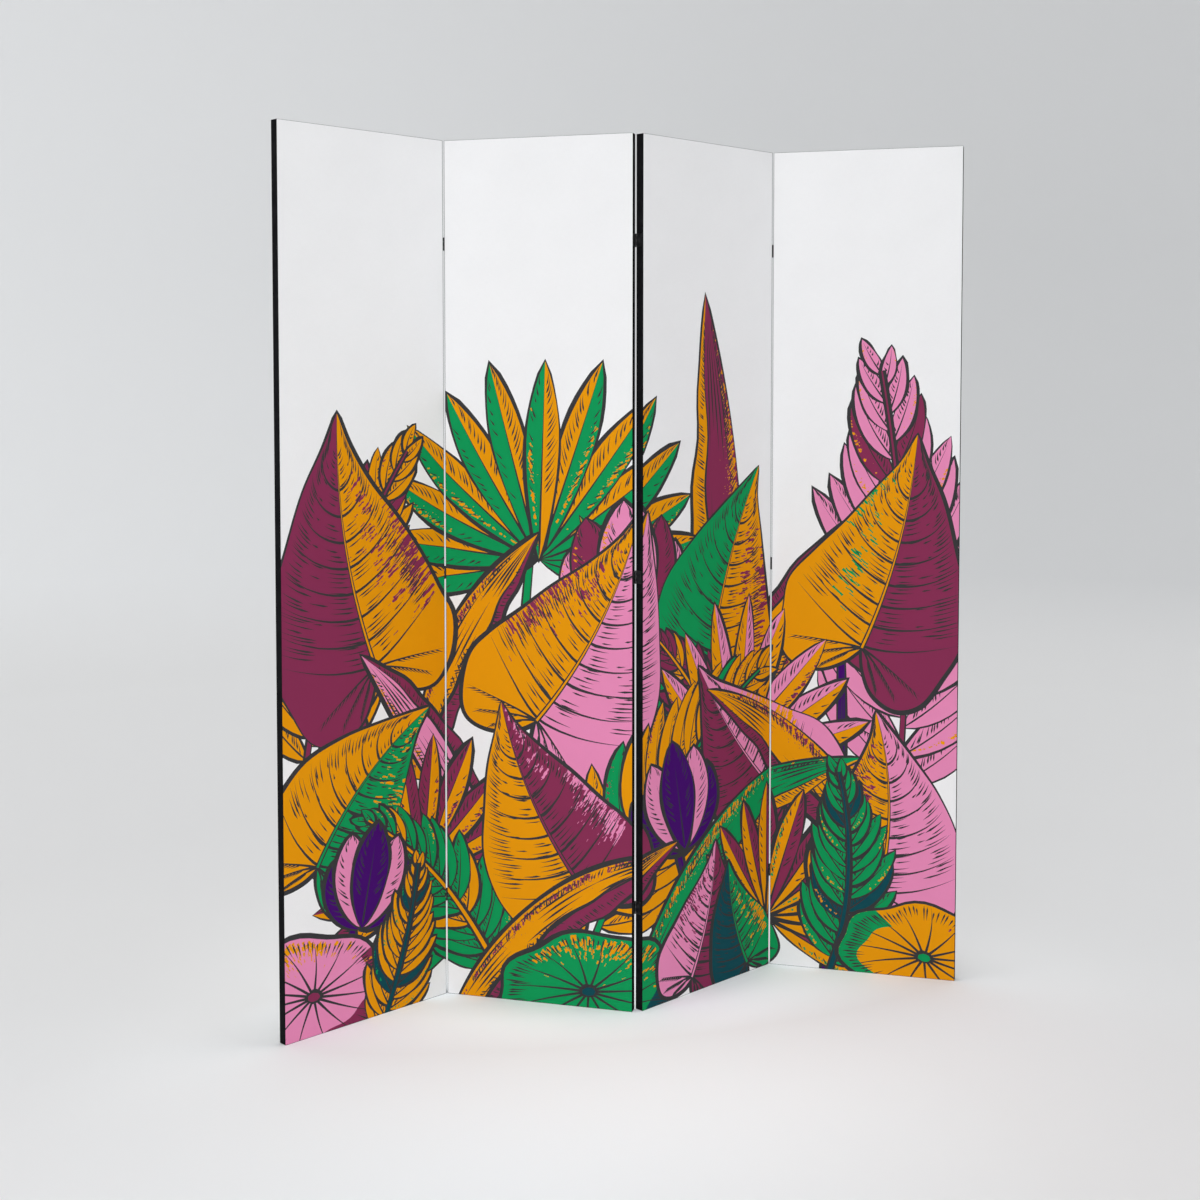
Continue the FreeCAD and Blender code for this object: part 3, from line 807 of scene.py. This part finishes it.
# Painted from back to front: kind, foot x, foot y, heading, size, bend, ink, second ink, dry-brush ink
PLANTS = (
    ("stem", 0.5, 0, 92, 0.85, -8, "green"),
    ("blade", 0.935, 0.34, 88, 0.98, 9, "maroon", "ochre", "ochre"),
    ("fan", 0.545, 0.83, 88, 0.38, 0, "green", "ochre", "ochre"),
    ("frond", 1.33, 0.3, 84, 0.88, 16, "pink", "maroon", "ochre"),
    ("frond", 0.04, 0.42, 84, 0.66, -30, "ochre", "maroon", "maroon"),
    ("blade", 0.3, 0.42, 74, 0.52, -24, "ochre", "maroon", "maroon"),
    ("blade", 0.87, 0.3, 104, 0.66, 16, "green", "ochre", "ochre"),
    ("blade", 0.96, 0.26, 80, 0.7, -28, "ochre", "maroon", "maroon"),
    ("stem", 0.77, 0.1, 96, 0.62, 4, "purple"),
    ("bud", 0.715, 0.69, 92, 0.25, 0, "pink", "maroon", "ochre"),
    ("stem", 0.25, 0.05, 92, 0.62, 18, "maroon"),
    ("heart", 0.2, 0.64, 112, 0.47, -24, "ochre", "maroon", "maroon"),
    ("heart", 0.905, 0.6, 80, 0.42, -20, "ochre", "green", "maroon"),
    ("stem", 1.2, 0, 84, 0.68, 8, "purple"),
    ("heart", 1.265, 0.64, 66, 0.43, 20, "ochre", "maroon", "green"),
    ("frond", 1.01, 0.33, 112, 0.44, 26, "maroon", "ochre", "pink"),
    ("fan", 0.985, 0.4, 84, 0.33, 0, "ochre", "pink", "maroon"),
    ("stem", 0.45, 0, 80, 0.56, 18, "ochre"),
    ("blade", 0.47, 0.2, 108, 0.56, 30, "pink", "maroon", "ochre"),
    ("heart", 0.54, 0.53, 50, 0.44, 26, "ochre", "pink", "maroon"),
    ("blade", 0.33, 0.06, 116, 0.66, 46, "green", "ochre", "ochre"),
    ("frond", 0.64, 0.1, 72, 0.66, -44, "ochre", "green", "maroon"),
    ("heart", 1.12, 0.33, 140, 0.38, -20, "pink", "maroon", "ochre"),
    ("blade", 1.35, 0.04, 104, 0.72, 52, "ochre", "maroon", "maroon"),
    ("stem", 0.89, 0, 100, 0.3, 8, "purple"),
    ("bud", 0.84, 0.28, 100, 0.21, 0, "purple", "pink"),
    ("fan", 0.3, 0.23, 100, 0.28, 0, "ochre", "maroon", "maroon"),
    ("heart", 0.07, 0.3, 60, 0.36, -30, "green", "ochre", "ochre"),
    ("frond", 0.48, 0.02, 116, 0.46, 30, "green", "ochre", "ochre"),
    ("heart", 0.63, 0.22, 128, 0.38, -26, "maroon", "ochre", "pink"),
    ("blade", 0.7, -0.02, 60, 0.74, -44, "green", "ochre", "ochre"),
    ("fan", 1.08, 0.1, 74, 0.27, 0, "ochre", "maroon", "green"),
    ("heart", 1.3, 0.16, 76, 0.36, 30, "ochre", "pink", "maroon"),
    ("frond", 1.2, -0.02, 70, 0.42, 34, "green", "teal", "ochre"),
    ("stem", 0.15, -0.05, 96, 0.24, -10, "purple"),
    ("bud", 0.165, 0.17, 78, 0.19, 0, "purple", "pink"),
    ("pad", 0.06, 0.07, -6, 0.17, 0, "pink", "maroon", "ochre"),
    ("blade", 0.4, -0.03, 56, 0.54, -36, "ochre", "maroon", "maroon"),
    ("frond", 0.19, -0.06, 62, 0.34, 20, "ochre", "teal", "green"),
    ("pad", 0.64, 0.03, 6, 0.17, 0, "green", "teal", "ochre"),
    ("heart", 0.86, 0.03, 62, 0.26, 26, "pink", "maroon", "maroon"),
    ("heart", 1.02, 0.02, 118, 0.22, -26, "green", "teal", "ochre"),
    ("pad", 1.39, 0.04, -10, 0.16, 0, "ochre", "green", "maroon"),
)

BRUSHES = {
    "stem": stem,
    "fan": fan_leaf,
    "frond": frond,
    "blade": blade,
    "bud": bud,
    "heart": heart_leaf,
    "pad": pad_leaf,
}


def clipped(points, low, high):
    """A polygon cut to a rectangle."""
    for axis in (0, 1):
        for sign, limit in ((1, low[axis]), (-1, high[axis])):
            inside = sign * (points[:, axis] - limit) >= 0
            if inside.all() or len(points) < 3:
                continue
            kept = []
            for i in range(len(points)):
                a, b = points[i - 1], points[i]
                if inside[i - 1] != inside[i]:
                    crossing = a + (b - a) * ((limit - a[axis]) / (b[axis] - a[axis]))
                    crossing[axis] = limit
                    kept.append(crossing)
                if inside[i]:
                    kept.append(b)
            points = np.array(kept).reshape(-1, 2)
    return points


def covered(outline, points):
    """Which points an outline goes round, as a nonzero sum of its turns."""
    a, b = outline, np.roll(outline, -1, 0)
    x, y = points[:, :1], points[:, 1:]
    left = (b[:, 0] - a[:, 0]) * (y - a[:, 1]) - (x - a[:, 0]) * (b[:, 1] - a[:, 1])
    up = (a[:, 1] <= y) & (b[:, 1] > y) & (left > 0)
    down = (a[:, 1] > y) & (b[:, 1] <= y) & (left < 0)
    return up.sum(1) != down.sum(1)


def seen_shapes(shapes):
    """The shapes of the print without those that lie wholly under one later shape."""
    lows, highs = (np.array([end(outline, 0) for _, outline, _ in shapes]) for end in (np.min, np.max))
    seen = np.ones(len(shapes), bool)
    for number, (_, over, within) in enumerate(shapes):
        if within is not None:
            continue
        inside = (lows[:number] > lows[number]) & (highs[:number] < highs[number])
        for under in np.flatnonzero(inside.all(1) & seen[:number]):
            seen[under] = not covered(over, shapes[under][1]).all()
    return [shape for shape, shown in zip(shapes, seen) if shown]


def settled(points, faces):
    """Tidies the rim: points beside it go onto it, those that all but touch join, and flat faces go."""
    for axis in (0, 1):
        for limit in (FACE_LOW[axis], FACE_HIGH[axis]):
            near = np.flatnonzero(np.abs(points[:, axis] - limit) < RIM_SNAP)
            points[near, axis] = limit
            near = near[np.argsort(points[near, 1 - axis])]
            kept = near[0]
            for point in near[1:-1]:
                if points[point, 1 - axis] - points[kept, 1 - axis] < RIM_JOIN:
                    faces[faces == point] = kept
                else:
                    kept = point
    (ax, az), (bx, bz), (cx, cz) = points[faces].transpose(1, 2, 0)
    faces = faces[(bx - ax) * (cz - az) != (cx - ax) * (bz - az)]
    used, faces = np.unique(faces, return_inverse=True)
    return points[used], faces.reshape(-1, 3)


def painted_face(shapes, panel):
    """(points, triangles, the ink of each) of the flat of a panel's front canvas."""
    left = np.array([(panel - 1) * (PANEL_WIDTH + PANEL_GAP), 0.0])
    low, high = FACE_LOW, FACE_HIGH
    corners = np.array([low, (high[0], low[1]), high, (low[0], high[1])])
    loops, inks, clips = [corners], [], []
    for ink, outline, within in shapes:
        loop = clipped(outline - left, low, high)
        if len(loop) > 2:
            loops.append(loop)
            inks.append(ink)
            clips.append(None if within is None else within - left)
    lines = (np.linspace(a, b, count)[1:-1] for a, b, count in zip(low, high, PRINT_LATTICE))
    points = np.vstack(loops + [np.stack(np.meshgrid(*lines), -1).reshape(-1, 2)])
    edges, start = [], 0
    for loop in loops:
        count = len(loop)
        edges += [(start + i, start + (i + 1) % count) for i in range(count)]
        start += count
    made = delaunay_2d_cdt([Vector(p) for p in points], edges, [], 0, 1e-6, False)
    points, faces = settled(np.array([p[:] for p in made[0]]), np.array(made[2]))
    middles = points[faces].mean(1)
    order = np.argsort(middles[:, 1])
    middles = middles[order]
    slots = np.zeros(len(faces), int)
    bare = np.ones(len(faces), bool)
    names = list(INKS)
    for loop, ink, clip in reversed(list(zip(loops[1:], inks, clips))):
        first, last = np.searchsorted(middles[:, 1], (loop[:, 1].min(), loop[:, 1].max()))
        x = middles[first:last, 0]
        near = (x >= loop[:, 0].min()) & (x <= loop[:, 0].max()) & bare[first:last]
        near = first + np.flatnonzero(near)
        for edge in (loop, clip):
            if edge is not None and len(near):
                near = near[covered(edge, middles[near])]
        slots[order[near]] = names.index(ink)
        bare[near] = False
    return points, faces, slots


def plain_face(step=10 * MM):
    """(points, squares) of a canvas's flat with nothing on it, and slot 0 for each."""
    counts = [round((b - a) / step) for a, b in zip(FACE_LOW, FACE_HIGH)]
    x, z = (np.linspace(a, b, n + 1) for a, b, n in zip(FACE_LOW, FACE_HIGH, counts))
    points = np.stack(np.meshgrid(x, z), -1).reshape(-1, 2)
    wide = counts[0] + 1
    corners = np.arange(counts[1])[:, None] * wide + np.arange(counts[0])
    faces = corners.reshape(-1, 1) + (0, 1, wide + 1, wide)
    return points, faces, np.zeros(len(faces), int)


def front_canvases():
    """The printed canvas of every panel. The print runs on across the folds."""
    sheet = Print(PRINT_SEED)
    for kind, x, y, *rest in PLANTS:
        BRUSHES[kind](sheet, (x, y), *rest)
    shapes = seen_shapes(sheet.shapes)
    # Each ink's hollow colour is a darker copy of it, painted shade in the weave.
    materials = [canvas_cloth(f"canvas_{ink}", rgb, [0.9 * c for c in rgb]) for ink, rgb in INKS.items()]
    for panel in PANELS:
        name = f"printed_canvas_{panel}"
        flat = painted_face(shapes, panel)
        piece = wrapped_canvas(name, panel, FRONT, *flat, materials, FRONT_SLACK)
        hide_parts(f"panel_{panel}_front_canvas")


def back_canvases():
    """The plain canvas on the back of every panel."""
    # The second colour is darker: painted shade in the hollows of the weave.
    material = canvas_cloth("canvas_plain", (232, 229, 221), (206, 201, 190), 0.7 * MM)
    for panel in PANELS:
        name = f"plain_canvas_{panel}"
        piece = wrapped_canvas(name, panel, BACK, *plain_face(), [material], BACK_SLACK)
        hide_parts(f"panel_{panel}_back_canvas")


def tape_path():
    """Points round a panel's edge, the outward direction at each, and its distance along the tape."""
    half = FACE_MIDDLE - TAPE_CORNER_RADIUS
    places, ways = [], []
    for quarter, (sx, sz) in enumerate(((1, -1), (1, 1), (-1, 1), (-1, -1))):
        for step in range(5):
            angle = math.radians(-90 + 90 * quarter + 22.5 * step)
            way = np.array([math.cos(angle), math.sin(angle)])
            places.append(FACE_MIDDLE + half * (sx, sz) + TAPE_CORNER_RADIUS * way)
            ways.append(way)
        ahead = np.array([(0, 1), (-1, 0), (0, -1), (1, 0)][quarter], float)
        run = 2 * half[1 - quarter % 2]
        for step in range(1, 12):
            places.append(places[-1] + ahead * run / 12)
            ways.append(way)
    places = np.array(places)
    steps = np.linalg.norm(np.diff(places, axis=0, append=places[:1]), axis=1)
    return places, np.array(ways), np.concatenate([[0], np.cumsum(steps)])


def edge_tape(panel, material):
    """The black tape round a panel's edge: a thin band with rounded margins."""
    places, ways, along = tape_path()
    count = len(places)
    r, t, d = TAPE_EDGE_RADIUS, TAPE_THICKNESS, PANEL_DEPTH
    profile = [
        (0, r, 1, 0),
        (-r * 0.3, r * 0.3, 0.7, -0.7),
        (-r, 0, 0, -1),
        (r - t, 0, 0, -1),
        (-t, r, -1, 0),
    ]
    profile += [(a, d - b, p, -q) for a, b, p, q in profile[::-1]]
    rows = len(profile)
    points, normals = [], []
    for out, deep, lean, back in profile:
        ring = places + ways * out
        points.append(np.stack([ring[:, 0], np.full(count, deep), ring[:, 1]], 1))
        normals.append(np.stack([ways[:, 0] * lean, np.full(count, float(back)), ways[:, 1] * lean], 1))
    points, normals = np.stack(points), np.stack(normals)
    steps = [math.hypot(b[0] - a[0], b[1] - a[1]) for a, b in zip(profile, profile[1:] + profile[:1])]
    across = np.concatenate([[0], np.cumsum(steps)])
    faces, cloth, corner_normals = [], [], []
    for row in range(rows):
        after = (row + 1) % rows
        for i in range(count):
            j = (i + 1) % count
            faces.append([row * count + i, row * count + j, after * count + j, after * count + i])
            cloth += [(along[i + a], across[row + b]) for a, b in ((0, 0), (1, 0), (1, 1), (0, 1))]
            corner_normals += [normals[row, i], normals[row, j], normals[after, j], normals[after, i]]
    points = carried(points.reshape(-1, 3), panel)
    corner_normals = turned(np.array(corner_normals), panel)
    slots = [0] * len(faces)
    piece = add_piece(f"edge_tape_{panel}", points, faces, slots, [material], cloth, corner_normals)
    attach(piece, f"panel_{panel}")
    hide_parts(f"panel_{panel}_edge_tape")


def finish_frame():
    """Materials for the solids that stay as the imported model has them."""
    steel = metal("staple_steel", (150, 152, 155), (186, 188, 190), (0.28, 0.5), 1.0)
    leaves = metal("black_hinge_steel", (24, 24, 26), (52, 52, 54), (0.34, 0.55), 0.0)
    screws = metal("black_screws", (20, 20, 22), (58, 58, 60), (0.3, 0.5), 0.0)
    upright = pine("upright_pine", 0.0, True)
    level = {turn: pine(f"level_pine_{turn:+.0f}", turn, False) for turn in (-30.0, 30.0)}
    finishes = {"staples": steel, "screws": screws, "stile": upright}
    for node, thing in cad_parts.items():
        kind = node.rsplit("_", 1)[1]
        if kind in ("canvas", "tape"):
            continue
        if kind == "rail":
            material = level[PANEL_TURNS[int(node.split("_")[1])]]
        else:
            material = finishes.get(kind, leaves)
        for slot in thing.material_slots:
            slot.material = material


def studio():
    """A round seamless studio: a flat floor that curves up into a wall."""
    profile = [(r, 0.0) for r in (0.6, 1.4, 2.4, 3.2)]
    for a in np.radians(range(0, 91, 6)):
        profile.append((FLOOR_RADIUS + WALL_CURVE * math.sin(a), WALL_CURVE * (1 - math.cos(a))))
    profile += [(FLOOR_RADIUS + WALL_CURVE, z) for z in (3.0, 4.5, 6.0)]
    around = 96
    turns = np.arange(around) * 2 * math.pi / around
    points = [(r * math.cos(a), r * math.sin(a), z - FLOOR_DROP) for r, z in profile for a in turns]
    points.append((0, 0, -FLOOR_DROP))
    faces = [[len(points) - 1, i, (i + 1) % around] for i in range(around)]
    for row in range(0, (len(profile) - 1) * around, around):
        for i in range(row, row + around):
            j = row + (i - row + 1) % around
            faces.append([i, i + around, j + around, j])
    mesh = bpy.data.meshes.new("studio")
    mesh.from_pydata(points, [], faces)
    mesh.polygons.foreach_set("use_smooth", np.ones(len(faces), bool))
    mesh.materials.append(studio_paint_with_painted_light())
    bowl = placed("studio", mesh)


def soft_light(name, kind, place, target, power, **settings):
    """A lamp that the camera doesn't see."""
    light = bpy.data.lights.new(name, kind)
    light.energy = power
    for setting, value in settings.items():
        setattr(light, setting, value)
    lamp = aimed(name, light, place, Vector(target) - Vector(place))
    lamp.visible_camera = False


def light_room():
    world = bpy.data.worlds.new("studio_air")
    world.use_nodes = True
    background = world.node_tree.nodes["Background"]
    background.inputs["Color"].default_value = (0.995, 0.998, 1.0, 1.0)
    background.inputs["Strength"].default_value = AIR
    bpy.context.scene.world = world
    for name, (place, width, power) in LAMPS.items():
        soft_light(name, "AREA", place, (0, 0, 0.8), power, shape="DISK", size=width)
    place, cone, width, power = POOL_LAMP
    below = (place[0], place[1], 0)
    shape = {"spot_size": math.radians(cone), "spot_blend": 1.0, "shadow_soft_size": width}
    soft_light("pool", "SPOT", place, below, power, **shape)
    bpy.context.scene.view_settings.view_transform = "Standard"


def add_camera():
    yaw, pitch = math.radians(CAMERA_YAW), math.radians(CAMERA_PITCH)
    ahead = Vector((math.sin(yaw) * math.cos(pitch), math.cos(yaw) * math.cos(pitch), -math.sin(pitch)))
    lens = bpy.data.cameras.new("camera")
    lens.lens = CAMERA_LENS
    lens.sensor_width = CAMERA_SENSOR
    lens.shift_y = CAMERA_SHIFT
    bpy.context.scene.camera = aimed("camera", lens, CAMERA_PLACE, ahead)


def write_sizes():
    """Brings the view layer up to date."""
    bpy.context.view_layer.update()


def main():
    front_canvases()
    back_canvases()
    tape = black_tape()
    for panel in PANELS:
        edge_tape(panel, tape)
    finish_frame()
    studio()
    light_room()
    add_camera()
    write_sizes()


main()
